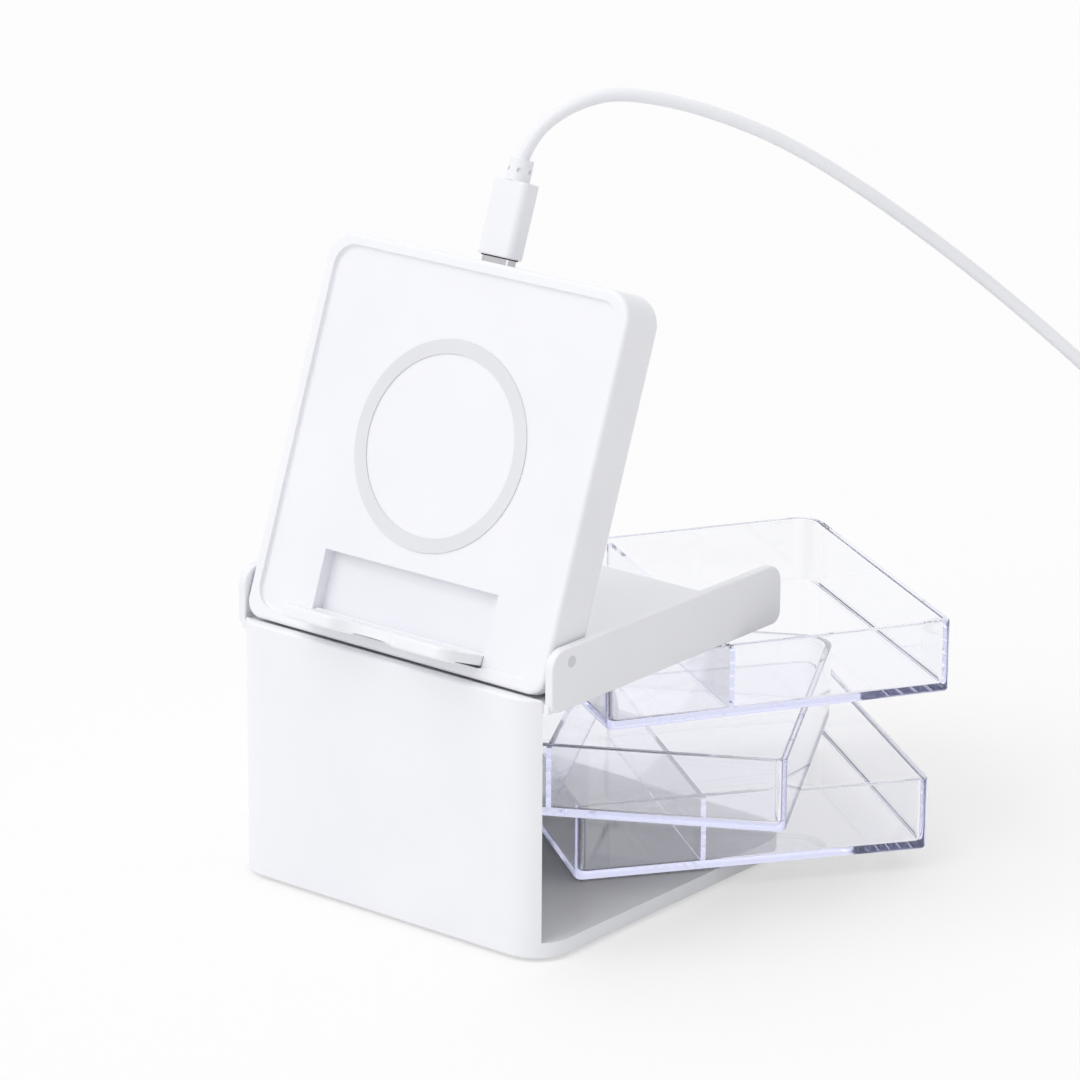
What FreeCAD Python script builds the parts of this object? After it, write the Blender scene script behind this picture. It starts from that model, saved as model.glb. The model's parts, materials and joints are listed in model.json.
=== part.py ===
# A desk organizer that charges a phone. Three clear trays swing out on a rod at
# the rear left of a white housing. A charging pad is hinged between two cheeks on
# top and leans back, with a fold-out ledge that the phone stands on. A cable runs
# from the pad's upper edge to a tied coil on the table.
#
# Frame: millimetres, origin at the middle of the base on the table, +X right,
# +Y to the rear, +Z up. Trays and pad are drawn closed, then turned to the pose
# in which the organizer stands in use.
import FreeCAD, Part
import math
import os
import re

TRAY_NAMES = ("bottom", "middle", "top")
COIL_LAYER_HALF_TURNS = 7
DIMPLES = 6

SIZES = {
    # Housing: base plate, front wall and left wall
    "housing_width": 84.5,
    "housing_depth": 84.5,
    "corner_radius": 8.8,
    "inner_corner_radius": 3.0,
    "base_thickness": 3.5,
    "front_wall": 2.8,
    "side_wall": 2.6,
    "front_rise": 0.9,
    "edge_round": 0.6,
    # Rubber sheet under the base
    "foot_thickness": 0.5,
    "foot_inset": 4.0,
    # Trays
    "tray_height": 15.7,
    "tray_gap": 0.6,
    "tray_side_gap": 1.15,
    "tray_front_gap": 0.4,
    "tray_right_inset": 3.75,
    "tray_rear_inset": 5.3,
    "tray_wall": 1.4,
    "tray_floor": 1.5,
    "tray_corner": 1.8,
    "tray_inner_corner": 1.2,
    "tray_far_corner": 6.0,
    "tray_foot_round": 0.5,
    "tray_inner_round": 0.6,
    "tray_rim_round": 0.3,
    "divider_place": 27.7,
    "divider_thickness": 1.1,
    "divider_drop": 1.0,
    "tray_bottom_angle": 54.0,
    "tray_middle_angle": 29.0,
    "tray_top_angle": 58.9,
    # Rod that the trays swing on
    "pivot_inset": 2.9,
    "pivot_behind": 0.9,
    "knuckle_radius": 3.6,
    "rod_radius": 1.5,
    "rod_play": 0.05,
    "rod_head_radius": 2.9,
    "rod_head_height": 1.1,
    "rod_sink": 0.1,
    "rod_recess_gap": 0.2,
    "insert_radius": 2.5,
    "insert_depth": 2.6,
    "washer_radius": 3.4,
    "washer_play": 0.1,
    # Deck and cheeks
    "deck_thickness": 2.0,
    "deck_wall_gap": 0.1,
    "deck_ear_radius": 4.4,
    "cheek_thickness": 2.05,
    "cheek_rear_inset": 5.9,
    "cheek_drop": 1.3,
    "cheek_top_round": 4.0,
    "cheek_rear_round": 2.5,
    "cheek_edge_round": 0.4,
    "tongue_width": 14.0,
    "tongue_reach": 1.5,
    "tongue_thickness": 1.2,
    "tongue_step": 26.0,
    "tongue_gap": 0.1,
    # Charging pad, measured from its hinge
    "hinge_inset": 9.0,
    "pad_angle": 69.5,
    "pad_end": 8.4,
    "pad_rear_inset": 1.4,
    "pad_fore": 4.4,
    "pad_back": 7.6,
    "pad_parting": 1.4,
    "pad_clearance": 0.3,
    "pad_side_gap": 0.35,
    "pad_corner": 4.0,
    "pad_high_corner": 6.5,
    "pad_front_round": 0.9,
    "pad_back_round": 2.8,
    "pad_wall": 1.8,
    "pad_back_wall": 1.6,
    "rim_width": 2.4,
    "dish_depth": 1.0,
    "dish_corner": 5.0,
    "face_thickness": 1.4,
    "barrel_length": 8.0,
    "barrel_rest": 6.0,
    "hinge_pin_radius": 1.2,
    "hinge_pin_reach": 5.0,
    "hinge_pin_end_gap": 0.3,
    "hinge_pin_play": 0.05,
    "press_gap": 0.02,
    # Screws that hold the pad's shells together
    "screw_side_inset": 7.0,
    "screw_low_inset": 21.4,
    "screw_high_inset": 7.1,
    "screw_radius": 1.0,
    "screw_head_radius": 1.9,
    "screw_head_height": 1.3,
    "screw_head_gap": 0.15,
    "screw_length": 7.6,
    "screw_drive_span": 2.2,
    "screw_drive_width": 0.5,
    "screw_drive_depth": 0.7,
    "screw_post_radius": 3.2,
    "screw_boss_radius": 2.4,
    "screw_bite": 3.4,
    # Ledge that the phone stands on
    "ledge_side_inset": 17.0,
    "ledge_rise": 3.9,
    "ledge_reach": 13.4,
    "ledge_thickness": 2.8,
    "ledge_waist": 2.0,
    "ledge_lip": 3.4,
    "ledge_sink": 0.1,
    "ledge_angle": 90.0,
    "ledge_gap": 0.25,
    "ledge_corner": 4.0,
    "ledge_scoop_depth": 4.2,
    "ledge_scoop_radius": 10.0,
    "ledge_edge_round": 0.7,
    "ledge_pin_radius": 0.75,
    "ledge_pin_seat": 1.2,
    "ledge_pin_play": 0.05,
    "pocket_wall": 1.8,
    "pocket_foot": 1.3,
    "pocket_floor": 1.2,
    "pocket_clear": 0.3,
    # What the pad holds
    "coil_margin": 2.0,
    "coil_inner_radius": 10.0,
    "coil_thickness": 1.2,
    "ferrite_over_half": 5.75,
    "ferrite_gap": 0.9,
    "ferrite_thickness": 0.8,
    "grip_margin": 0.5,
    "grip_width": 3.0,
    "grip_thickness": 0.8,
    "grip_groove": 0.5,
    "board_width": 40.0,
    "board_length": 22.0,
    "board_thickness": 1.0,
    "board_end_gap": 0.6,
    "board_rib": 1.4,
    "board_rib_side": 15.0,
    "chip_side": 6.0,
    "chip_height": 0.9,
    "choke_radius": 3.2,
    "choke_height": 2.4,
    "chip_place": 11.0,
    # Socket and plug in the pad's upper edge
    "port_depth": 1.6,
    "socket_width": 8.94,
    "socket_height": 3.26,
    "socket_length": 6.7,
    "socket_wall": 0.25,
    "socket_back": 1.0,
    "socket_sink": 0.1,
    "socket_gap": 0.1,
    "socket_tongue_width": 6.7,
    "socket_tongue_height": 0.7,
    "socket_tongue_length": 4.4,
    "plug_shell_width": 8.3,
    "plug_shell_height": 2.5,
    "plug_shell_wall": 0.35,
    "plug_seat_gap": 0.3,
    "plug_bare": 1.5,
    "plug_width": 9.0,
    "plug_height": 5.3,
    "plug_length": 15.8,
    "plug_corner": 1.5,
    "plug_end_round": 0.35,
    "relief_base_radius": 2.6,
    "relief_tip_radius": 2.5,
    "relief_length": 4.6,
    "dimple_radius": 0.5,
    "dimple_depth": 0.4,
    "dimple_angle": -26.0,
    # Cable and its coil
    "cable_diameter": 2.8,
    "cable_start_gap": 0.2,
    "coil_center_x": 138.0,
    "coil_center_y": 55.75,
    "coil_start_angle": -20.0,
    "coil_start_radius": 21.2,
    "coil_pitch": 3.26,
    "coil_lead": 10.0,
    "tie_thickness": 0.5,
    "tie_gap": 0.1,
    "tie_inner_room": 0.7,
    "tie_width": 5.0,
    "tie_angle": 80.0,
    # Plug on the cable's far end
    "usb_width": 15.8,
    "usb_height": 8.4,
    "usb_length": 24.0,
    "usb_corner": 2.4,
    "usb_relief_length": 7.0,
    "usb_relief_base_radius": 3.0,
    "usb_relief_tip_radius": 2.0,
    "usb_shell_width": 12.0,
    "usb_shell_height": 4.5,
    "usb_shell_length": 15.2,
    "usb_shell_wall": 0.3,
    "usb_shell_seat": 2.0,
    "usb_tongue_width": 11.1,
    "usb_tongue_height": 1.84,
    "usb_tongue_lift": 0.05,
    "overrun": 1.0,
}

WORKED_OUT = {
    "front_y": "-housing_depth / 2",
    "left_x": "-housing_width / 2",
    "base_top": "foot_thickness + base_thickness",
    "tray_pitch": "tray_height + tray_gap",
    "deck_under": f"base_top + tray_gap + {len(TRAY_NAMES)} * tray_pitch",
    "deck_top": "deck_under + deck_thickness",
    "front_height": "deck_top + front_rise",
    "tray_width": "housing_width - side_wall - tray_side_gap - tray_right_inset",
    "tray_depth": "housing_depth - front_wall - tray_front_gap - tray_rear_inset",
    "cheek_length": "housing_depth - front_wall - deck_wall_gap - cheek_rear_inset",
    "pad_length": "housing_depth - hinge_inset + pad_end - pad_rear_inset",
    "hinge_y": "front_y + hinge_inset",
    "hinge_z": "deck_top + pad_clearance + pad_back",
    "cheek_height": "deck_thickness + pad_clearance + pad_back + pad_fore - cheek_drop",
    "cheek_front": "front_y + front_wall + deck_wall_gap",
    "pad_width": "housing_width - 2 * cheek_thickness - 2 * pad_side_gap",
    "pad_low_y": "hinge_y - pad_end",
    "pad_high_y": "hinge_y - pad_end + pad_length",
    "ledge_width": "pad_width - 2 * ledge_side_inset",
    "screw_side": "pad_width / 2 - screw_side_inset",
    "parting_z": "hinge_z + pad_parting",
    "face_z": "hinge_z + pad_fore",
    "dish_z": "hinge_z + pad_fore - dish_depth",
    "face_under": "hinge_z + pad_fore - dish_depth - face_thickness",
    "back_z": "hinge_z - pad_back",
    "back_inner": "hinge_z - pad_back + pad_back_wall",
    "tray_left": "left_x + side_wall + tray_side_gap",
    "tray_front": "front_y + front_wall + tray_front_gap",
    "tray_rear": "tray_front + tray_depth",
    "pivot_x": "tray_left + pivot_inset",
    "pivot_y": "tray_rear + pivot_behind",
    "ledge_y": "pad_low_y + ledge_rise",
    "ledge_z": "dish_z - ledge_thickness / 2 - ledge_sink",
    "pocket_low_y": "ledge_y - ledge_thickness / 2 - ledge_gap",
    "pocket_high_y": "ledge_y + ledge_reach + ledge_gap",
    "pocket_z": "ledge_z - ledge_thickness / 2 - ledge_gap",
    "pocket_width": "ledge_width + 2 * ledge_gap",
    "ferrite_side": "pad_length / 2 + ferrite_over_half",
    "pad_mid_y": "pocket_high_y + pocket_wall + ferrite_gap + ferrite_side / 2",
    "coil_outer_radius": "ferrite_side / 2 - coil_margin",
    "grip_radius": "coil_outer_radius + grip_margin",
    "boss_z": "face_under - screw_bite",
    "screw_seat_z": "back_z + screw_head_height + screw_head_gap",
    "port_z": "hinge_z - port_depth",
    "socket_y": "pad_high_y - socket_sink - socket_length",
    "plug_y": "pad_high_y + plug_bare",
    "relief_y": "plug_y + plug_length",
    "cable_y": "relief_y + relief_length",
    "board_top": "port_z - socket_height / 2",
    "board_y": "pad_high_y - pad_wall - board_end_gap - board_length",
    "coil_low_z": "tie_thickness + tie_gap + cable_diameter / 2",
}

# Where the cable lies between the plug and its coil, before the last straight run.
# The first point is the plug's strain relief and is worked out from the pad.
CABLE_ROUTE = [
    (2.0, 6.2, 161.1),
    (6.0, 10.6, 164.2),
    (11.6, 16.2, 165.8),
    (18.5, 22.9, 164.7),
    (27.0, 31.0, 161.5),
    (38.3, 41.8, 154.8),
    (51.5, 54.0, 143.2),
    (65.5, 67.6, 128.4),
    (80.2, 81.9, 110.8),
    (100.0, 94.2, 90.0),
    (121.5, 101.8, 69.5),
    (141.5, 100.2, 48.0),
    (154.5, 91.2, 29.0),
    (161.3, 80.2, 14.5),
    (163.0, 69.2, 5.5),
]
CABLE_FIRST_RUN_SHARE = 1.6
CABLE_LAST_RUN_SHARE = 3.8
ARC_SHARE = 0.45
APART_SHARE = 3

doc = FreeCAD.newDocument("organizer")
sheet = doc.addObject("Spreadsheet::Sheet", "Sizes")
made = []


def fill_sheet():
    row = 1
    for alias, value in SIZES.items():
        sheet.set(f"A{row}", alias)
        sheet.set(f"B{row}", str(value))
        sheet.setAlias(f"B{row}", alias)
        row += 1
    for alias, formula in WORKED_OUT.items():
        sheet.set(f"A{row}", alias)
        sheet.set(f"B{row}", "=" + formula)
        sheet.setAlias(f"B{row}", alias)
        row += 1
    doc.recompute()


def cells(text):
    """An expression in the sheet's aliases, as the document's objects read it."""
    return re.sub(r"[a-z][a-z_]+", lambda word: "Sizes." + word.group(), text)


def mm(text):
    """The value of an expression in the sheet's aliases."""
    return float(sheet.evalExpression(cells(text)))


def vector(*texts):
    return FreeCAD.Vector(*(mm(text) for text in texts))


def new_body(label):
    body = doc.addObject("PartDesign::Body", label)
    body.AllowCompound = True
    made.append(body)
    return body


def place(feature, at):
    for axis, text in zip("xyz", at):
        feature.setExpression(".Placement.Base." + axis, cells(text))


def block(body, size, at, cut=False):
    kind = "SubtractiveBox" if cut else "AdditiveBox"
    feature = body.newObject("PartDesign::" + kind, "Block")
    for side, text in zip(("Length", "Width", "Height"), size):
        feature.setExpression(side, cells(text))
    place(feature, at)
    return feature


TURNS = {
    "x": FreeCAD.Rotation(FreeCAD.Vector(0, 1, 0), 90),
    "y": FreeCAD.Rotation(FreeCAD.Vector(1, 0, 0), -90),
    "z": FreeCAD.Rotation(),
}


def drum(body, radius, length, at, along="z", cut=False):
    kind = "SubtractiveCylinder" if cut else "AdditiveCylinder"
    feature = body.newObject("PartDesign::" + kind, "Drum")
    feature.setExpression("Radius", cells(radius))
    feature.setExpression("Height", cells(length))
    feature.Placement = FreeCAD.Placement(FreeCAD.Vector(), TURNS[along])
    place(feature, at)
    return feature


def taper(body, low_radius, high_radius, length, at, along):
    feature = body.newObject("PartDesign::AdditiveCone", "Taper")
    feature.setExpression("Radius1", cells(low_radius))
    feature.setExpression("Radius2", cells(high_radius))
    feature.setExpression("Height", cells(length))
    feature.Placement = FreeCAD.Placement(FreeCAD.Vector(), TURNS[along])
    place(feature, at)
    return feature


def soften(body, radius, wanted):
    """Fillet the edges of a body that the test picks."""
    doc.recompute()
    last = body.Tip
    names = []
    for number, edge in enumerate(last.Shape.Edges, 1):
        if wanted(edge):
            names.append(f"Edge{number}")
    if not names:
        raise ValueError("no edge to round on " + body.Label)
    feature = body.newObject("PartDesign::Fillet", "Soft")
    feature.Base = (last, names)
    feature.setExpression("Radius", cells(radius))
    return feature


NEAR = 1e-4


def same(one, other):
    return abs(one - other) < NEAR


def runs_along(edge, axis):
    """Whether an edge is straight and parallel to an axis."""
    if edge.Curve.TypeId != "Part::GeomLine":
        return False
    start, end = (vertex.Point for vertex in edge.Vertexes)
    others = [name for name in "xyz" if name != axis]
    return all(same(getattr(start, name), getattr(end, name)) for name in others)


def upright(edge):
    return runs_along(edge, "z")


def upright_at(*spots):
    """A test for vertical edges that stand on any of the given places."""
    places = [(mm(x), mm(y)) for x, y in spots]

    def wanted(edge):
        point = edge.Vertexes[0].Point
        return upright(edge) and any(same(point.x, x) and same(point.y, y) for x, y in places)

    return wanted


def level_at(height):
    """A test for edges that lie at one height."""
    level = mm(height)

    def wanted(edge):
        return all(same(vertex.Point.z, level) for vertex in edge.Vertexes)

    return wanted


def upright_in(low, high):
    """A test for vertical edges that stand inside a rectangle, or on its outline."""
    x0, y0, x1, y1 = mm(low[0]), mm(low[1]), mm(high[0]), mm(high[1])

    def wanted(edge):
        point = edge.Vertexes[0].Point
        inside = x0 - NEAR < point.x < x1 + NEAR and y0 - NEAR < point.y < y1 + NEAR
        return upright(edge) and inside

    return wanted


def across_from(edge):
    """A test for edges that lie in one plane across the object's width."""
    places = [vertex.Point.x for vertex in edge.Vertexes]
    return all(same(x, places[0]) for x in places)


def turned(body, axis, angle, center, lift="0"):
    """Turn a finished body about an axis through a point, and lift it."""
    turn = FreeCAD.Rotation(axis, mm(angle))
    body.Placement = FreeCAD.Placement(vector("0", "0", lift), turn, center)


def leaned(body):
    """Tilt a piece of the pad from lying closed to leaning back."""
    turned(body, FreeCAD.Vector(1, 0, 0), "pad_angle", vector("0", "hinge_y", "hinge_z"))


# Housing


def make_housing_shell():
    shell = new_body("housing_shell")
    block(
        shell,
        ("housing_width", "housing_depth", "front_height - foot_thickness"),
        ("left_x", "front_y", "foot_thickness"),
    )
    soften(shell, "corner_radius", upright)
    block(
        shell,
        ("housing_width", "housing_depth", "front_height"),
        ("left_x + side_wall", "front_y + front_wall", "base_top"),
        cut=True,
    )
    inner_corner = upright_at(("left_x + side_wall", "front_y + front_wall"))
    soften(shell, "inner_corner_radius", inner_corner)
    block(
        shell,
        ("housing_width", "housing_depth", "front_height"),
        ("left_x", "front_y + front_wall", "deck_under"),
        cut=True,
    )
    soften(shell, "edge_round", level_at("front_height"))
    soften(shell, "edge_round", level_at("foot_thickness"))
    for step in (-1, 0, 1):
        block(
            shell,
            (
                "tongue_width + 2 * tongue_gap",
                "tongue_reach + tongue_gap + overrun",
                "tongue_thickness + 2 * tongue_gap",
            ),
            (
                f"{step} * tongue_step - tongue_width / 2 - tongue_gap",
                "front_y + front_wall - tongue_reach - tongue_gap",
                "deck_under + (deck_thickness - tongue_thickness) / 2 - tongue_gap",
            ),
            cut=True,
        )
    drum(
        shell,
        "insert_radius + press_gap",
        "insert_depth + overrun",
        ("pivot_x", "pivot_y", "base_top - insert_depth"),
        cut=True,
    )


def make_foot_sheet():
    sheet_body = new_body("foot_sheet")
    block(
        sheet_body,
        ("housing_width - 2 * foot_inset", "housing_depth - 2 * foot_inset", "foot_thickness"),
        ("left_x + foot_inset", "front_y + foot_inset", "0"),
    )
    soften(sheet_body, "corner_radius - foot_inset", upright)


def make_deck_frame():
    deck = new_body("deck_frame")
    for side in ("left_x", "-left_x - cheek_thickness"):
        block(
            deck,
            ("cheek_thickness", "cheek_length", "cheek_height"),
            (side, "cheek_front", "deck_under"),
        )
    high = level_at("deck_under + cheek_height")
    soften(deck, "cheek_top_round", lambda edge: runs_along(edge, "x") and high(edge))
    low = level_at("deck_under")
    soften(deck, "cheek_rear_round", lambda edge: runs_along(edge, "x") and low(edge))
    soften(deck, "cheek_edge_round", across_from)
    block(
        deck,
        ("housing_width - cheek_thickness", "cheek_length", "deck_thickness"),
        ("left_x + cheek_thickness / 2", "cheek_front", "deck_under"),
    )
    drum(deck, "deck_ear_radius", "deck_thickness", ("pivot_x", "pivot_y", "deck_under"))
    for step in (-1, 0, 1):
        block(
            deck,
            ("tongue_width", "tongue_reach + deck_wall_gap", "tongue_thickness"),
            (
                f"{step} * tongue_step - tongue_width / 2",
                "cheek_front - tongue_reach - deck_wall_gap",
                "deck_under + (deck_thickness - tongue_thickness) / 2",
            ),
        )
    drum(
        deck,
        "rod_radius + press_gap",
        "deck_thickness + 2 * overrun",
        ("pivot_x", "pivot_y", "deck_under - overrun"),
        cut=True,
    )
    drum(
        deck,
        "rod_head_radius + rod_recess_gap",
        "rod_head_height + rod_sink + overrun",
        ("pivot_x", "pivot_y", "deck_top - rod_head_height - rod_sink"),
        cut=True,
    )
    drum(
        deck,
        "hinge_pin_radius + press_gap",
        "housing_width + 2 * overrun",
        ("left_x - overrun", "hinge_y", "hinge_z"),
        along="x",
        cut=True,
    )


def make_pivot_rod():
    rod = new_body("pivot_rod")
    foot = "base_top - insert_depth"
    drum(rod, "rod_radius", f"deck_top - rod_sink - ({foot})", ("pivot_x", "pivot_y", foot))
    drum(
        rod,
        "rod_head_radius",
        "rod_head_height",
        ("pivot_x", "pivot_y", "deck_top - rod_sink - rod_head_height"),
    )


def make_rod_insert():
    insert = new_body("rod_insert")
    foot = ("pivot_x", "pivot_y", "base_top - insert_depth")
    drum(insert, "insert_radius", "insert_depth", foot)
    drum(insert, "rod_radius + press_gap", "insert_depth + overrun", foot, cut=True)


def make_tray_washers():
    washers = new_body("tray_washers")
    for number in range(len(TRAY_NAMES) + 1):
        foot = ("pivot_x", "pivot_y", f"base_top + {number} * tray_pitch")
        drum(washers, "washer_radius", "tray_gap - washer_play", foot)
    drum(
        washers,
        "rod_radius + rod_play",
        "deck_under - base_top + 2 * overrun",
        ("pivot_x", "pivot_y", "base_top - overrun"),
        cut=True,
    )


def make_pad_hinge_pins():
    pins = new_body("pad_hinge_pins")
    length = "cheek_thickness + pad_side_gap + hinge_pin_reach"
    for start in ("left_x", f"-left_x - ({length})"):
        drum(pins, "hinge_pin_radius", length, (start, "hinge_y", "hinge_z"), along="x")


# Charging pad, drawn lying closed between the cheeks


def screw_places():
    for x in ("-screw_side", "screw_side"):
        for y in ("pad_low_y + screw_low_inset", "pad_high_y - screw_high_inset"):
            yield x, y


def capsule(body, width, height, length, start, cut=False):
    """A flat bar with round sides that runs rearward in line with the pad's port."""
    flat = f"({width}) - ({height})"
    block(
        body,
        (flat, length, height),
        (f"-({flat}) / 2", start, f"port_z - ({height}) / 2"),
        cut,
    )
    for side in ("-", ""):
        drum(body, f"({height}) / 2", length, (f"{side}({flat}) / 2", start, "port_z"), "y", cut)


def clear_inside(shell, start, foot, deep):
    """Cut the room inside the pad, from a place in its length up to its wall at the port."""
    inner_radius = "(pad_high_corner - pad_wall)"
    width = "(pad_width - 2 * pad_wall)"
    bend_y = f"pad_high_y - pad_wall - {inner_radius}"
    block(shell, (width, f"{bend_y} - ({start})", deep), (f"-{width} / 2", start, foot), cut=True)
    middle = f"({width} - 2 * {inner_radius})"
    block(
        shell,
        (middle, f"2 * {inner_radius}", deep),
        (f"-{middle} / 2", f"{bend_y} - {inner_radius}", foot),
        cut=True,
    )
    for side in ("-", ""):
        drum(shell, inner_radius, deep, (f"{side}{middle} / 2", bend_y, foot), cut=True)


def face_outline():
    """A test for the outer edges of the pad's face."""
    on_face = level_at("face_z")
    side = mm("pad_width / 2")
    ends = (mm("pad_low_y"), mm("pad_high_y"))

    def on_outline(point):
        return same(abs(point.x), side) or any(same(point.y, end) for end in ends)

    return lambda edge: on_face(edge) and all(on_outline(vertex.Point) for vertex in edge.Vertexes)


def make_pad_front_shell():
    shell = new_body("pad_front_shell")
    block(
        shell,
        ("pad_width", "pad_length", "pad_fore - pad_parting"),
        ("-pad_width / 2", "pad_low_y", "parting_z"),
    )
    low_end = ("-pad_width / 2", "pad_low_y")
    high_end = ("-pad_width / 2", "pad_high_y")
    soften(shell, "pad_corner", upright_in(low_end, ("pad_width / 2", "pad_low_y")))
    soften(shell, "pad_high_corner", upright_in(high_end, ("pad_width / 2", "pad_high_y")))
    dish_low = ("rim_width - pad_width / 2", "pad_low_y + rim_width")
    dish_high = ("pad_width / 2 - rim_width", "pad_high_y - rim_width")
    block(
        shell,
        ("pad_width - 2 * rim_width", "pad_length - 2 * rim_width", "dish_depth + overrun"),
        (*dish_low, "dish_z"),
        cut=True,
    )
    soften(shell, "dish_corner", upright_in(dish_low, dish_high))
    soften(shell, "dish_depth / 2", level_at("dish_z"))
    soften(shell, "pad_front_round", face_outline())
    clear_inside(
        shell, "pad_low_y + pad_wall", "parting_z - overrun", "face_under - parting_z + overrun"
    )
    tub_foot = "pocket_z - pocket_floor"
    tub_low = "pocket_low_y - pocket_foot"
    block(
        shell,
        (
            "pocket_width + 2 * pocket_wall",
            f"pocket_high_y + pocket_wall - ({tub_low})",
            f"face_under - ({tub_foot})",
        ),
        ("-pocket_width / 2 - pocket_wall", tub_low, tub_foot),
    )
    block(
        shell,
        ("pocket_width", "pocket_high_y - pocket_low_y", "dish_z - pocket_z + overrun"),
        ("-pocket_width / 2", "pocket_low_y", "pocket_z"),
        cut=True,
    )
    drum(
        shell,
        "ledge_pin_radius + press_gap",
        "pocket_width + 2 * ledge_pin_seat",
        ("-pocket_width / 2 - ledge_pin_seat", "ledge_y", "ledge_z"),
        along="x",
        cut=True,
    )
    for x, y in screw_places():
        drum(shell, "screw_boss_radius", "screw_bite", (x, y, "boss_z"))
        drum(shell, "screw_radius + press_gap", "screw_bite", (x, y, "boss_z"), cut=True)
    groove = ("0", "pad_mid_y", "dish_z - grip_groove")
    drum(shell, "grip_radius + press_gap", "grip_groove + overrun", groove, cut=True)
    drum(shell, "grip_radius - grip_width - press_gap", "grip_groove", groove)
    leaned(shell)


def make_pad_rear_shell():
    shell = new_body("pad_rear_shell")
    block(
        shell,
        ("pad_width", "pad_high_y - hinge_y", "parting_z - back_z"),
        ("-pad_width / 2", "hinge_y", "back_z"),
    )
    soften(
        shell,
        "pad_high_corner",
        upright_at(("-pad_width / 2", "pad_high_y"), ("pad_width / 2", "pad_high_y")),
    )
    on_back = level_at("back_z")
    hinge_line = mm("hinge_y")

    def back_edge(edge):
        return on_back(edge) and any(vertex.Point.y > hinge_line + NEAR for vertex in edge.Vertexes)

    soften(shell, "pad_back_round", back_edge)
    drum(shell, "pad_back", "pad_width", ("-pad_width / 2", "hinge_y", "hinge_z"), along="x")
    block(
        shell,
        ("pad_width + 2 * overrun", "2 * pad_back", "pad_back"),
        ("-pad_width / 2 - overrun", "hinge_y - pad_back", "parting_z"),
        cut=True,
    )
    hollow_pad(shell)
    for side in ("-board_rib_side", "board_rib_side - board_rib"):
        block(
            shell,
            ("board_rib", "board_length", "board_top - board_thickness - back_inner"),
            (side, "board_y", "back_inner"),
        )
    for x, y in screw_places():
        drum(shell, "screw_post_radius", "boss_z - back_inner", (x, y, "back_inner"))
        hole = (x, y, "back_z - overrun")
        drum(shell, "screw_radius + screw_head_gap", "boss_z - back_z + 2 * overrun", hole, cut=True)
        head_room = "screw_seat_z - back_z + overrun"
        drum(shell, "screw_head_radius + screw_head_gap", head_room, hole, cut=True)
    bore = "hinge_pin_reach + hinge_pin_end_gap"
    for start in ("-pad_width / 2 - overrun", f"pad_width / 2 - ({bore})"):
        drum(
            shell,
            "hinge_pin_radius + hinge_pin_play",
            f"{bore} + overrun",
            (start, "hinge_y", "hinge_z"),
            along="x",
            cut=True,
        )
    capsule(
        shell,
        "socket_width + 2 * socket_gap",
        "socket_height + 2 * socket_gap",
        "pad_wall + 2 * overrun",
        "pad_high_y - pad_wall - overrun",
        cut=True,
    )
    leaned(shell)


def hollow_pad(shell):
    """Clear the inside of the pad's back, between the solid barrels at its lower corners."""
    deep = "parting_z - back_inner + overrun"
    clear_inside(shell, "hinge_y + barrel_rest", "back_inner", deep)
    between = "pad_width - 2 * barrel_length"
    block(
        shell,
        (between, "barrel_rest + overrun", deep),
        (f"-({between}) / 2", "hinge_y", "back_inner"),
        cut=True,
    )
    drum(
        shell,
        "pad_back - pad_back_wall",
        between,
        (f"-({between}) / 2", "hinge_y", "hinge_z"),
        along="x",
        cut=True,
    )
    tub_foot = "pocket_z - pocket_floor - pocket_clear"
    tub_width = "pocket_width + 2 * pocket_wall + 2 * pocket_clear"
    block(
        shell,
        (tub_width, "pad_back + 2 * overrun", f"parting_z - ({tub_foot}) + overrun"),
        (f"-({tub_width}) / 2", "hinge_y - pad_back - overrun", tub_foot),
        cut=True,
    )


def make_grip_ring():
    ring = new_body("grip_ring")
    foot = ("0", "pad_mid_y", "dish_z - grip_groove")
    drum(ring, "grip_radius", "grip_thickness", foot)
    drum(ring, "grip_radius - grip_width", "grip_thickness + overrun", foot, cut=True)
    leaned(ring)


def make_charging_coil():
    coil = new_body("charging_coil")
    foot = ("0", "pad_mid_y", "face_under - coil_thickness")
    drum(coil, "coil_outer_radius", "coil_thickness", foot)
    drum(coil, "coil_inner_radius", "coil_thickness + overrun", foot, cut=True)
    leaned(coil)


def make_ferrite_sheet():
    ferrite = new_body("ferrite_sheet")
    block(
        ferrite,
        ("ferrite_side", "ferrite_side", "ferrite_thickness"),
        (
            "-ferrite_side / 2",
            "pad_mid_y - ferrite_side / 2",
            "face_under - coil_thickness - ferrite_thickness",
        ),
    )
    leaned(ferrite)


def make_circuit_board():
    board = new_body("circuit_board")
    block(
        board,
        ("board_width", "board_length", "board_thickness"),
        ("-board_width / 2", "board_y", "board_top - board_thickness"),
    )
    leaned(board)


def make_board_parts():
    parts = new_body("board_parts")
    for step in (-1, 0):
        block(
            parts,
            ("chip_side", "chip_side", "chip_height"),
            (f"{step} * chip_place - chip_side / 2", "board_y + chip_side / 2", "board_top"),
        )
    drum(parts, "choke_radius", "choke_height", ("chip_place", "board_y + chip_side", "board_top"))
    for step in (-1, 1):
        block(
            parts,
            ("chip_side / 3", "chip_side / 2", "chip_height"),
            (f"{step} * chip_place - chip_side / 6", "board_y + 2 * chip_side", "board_top"),
        )
    leaned(parts)


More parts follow.
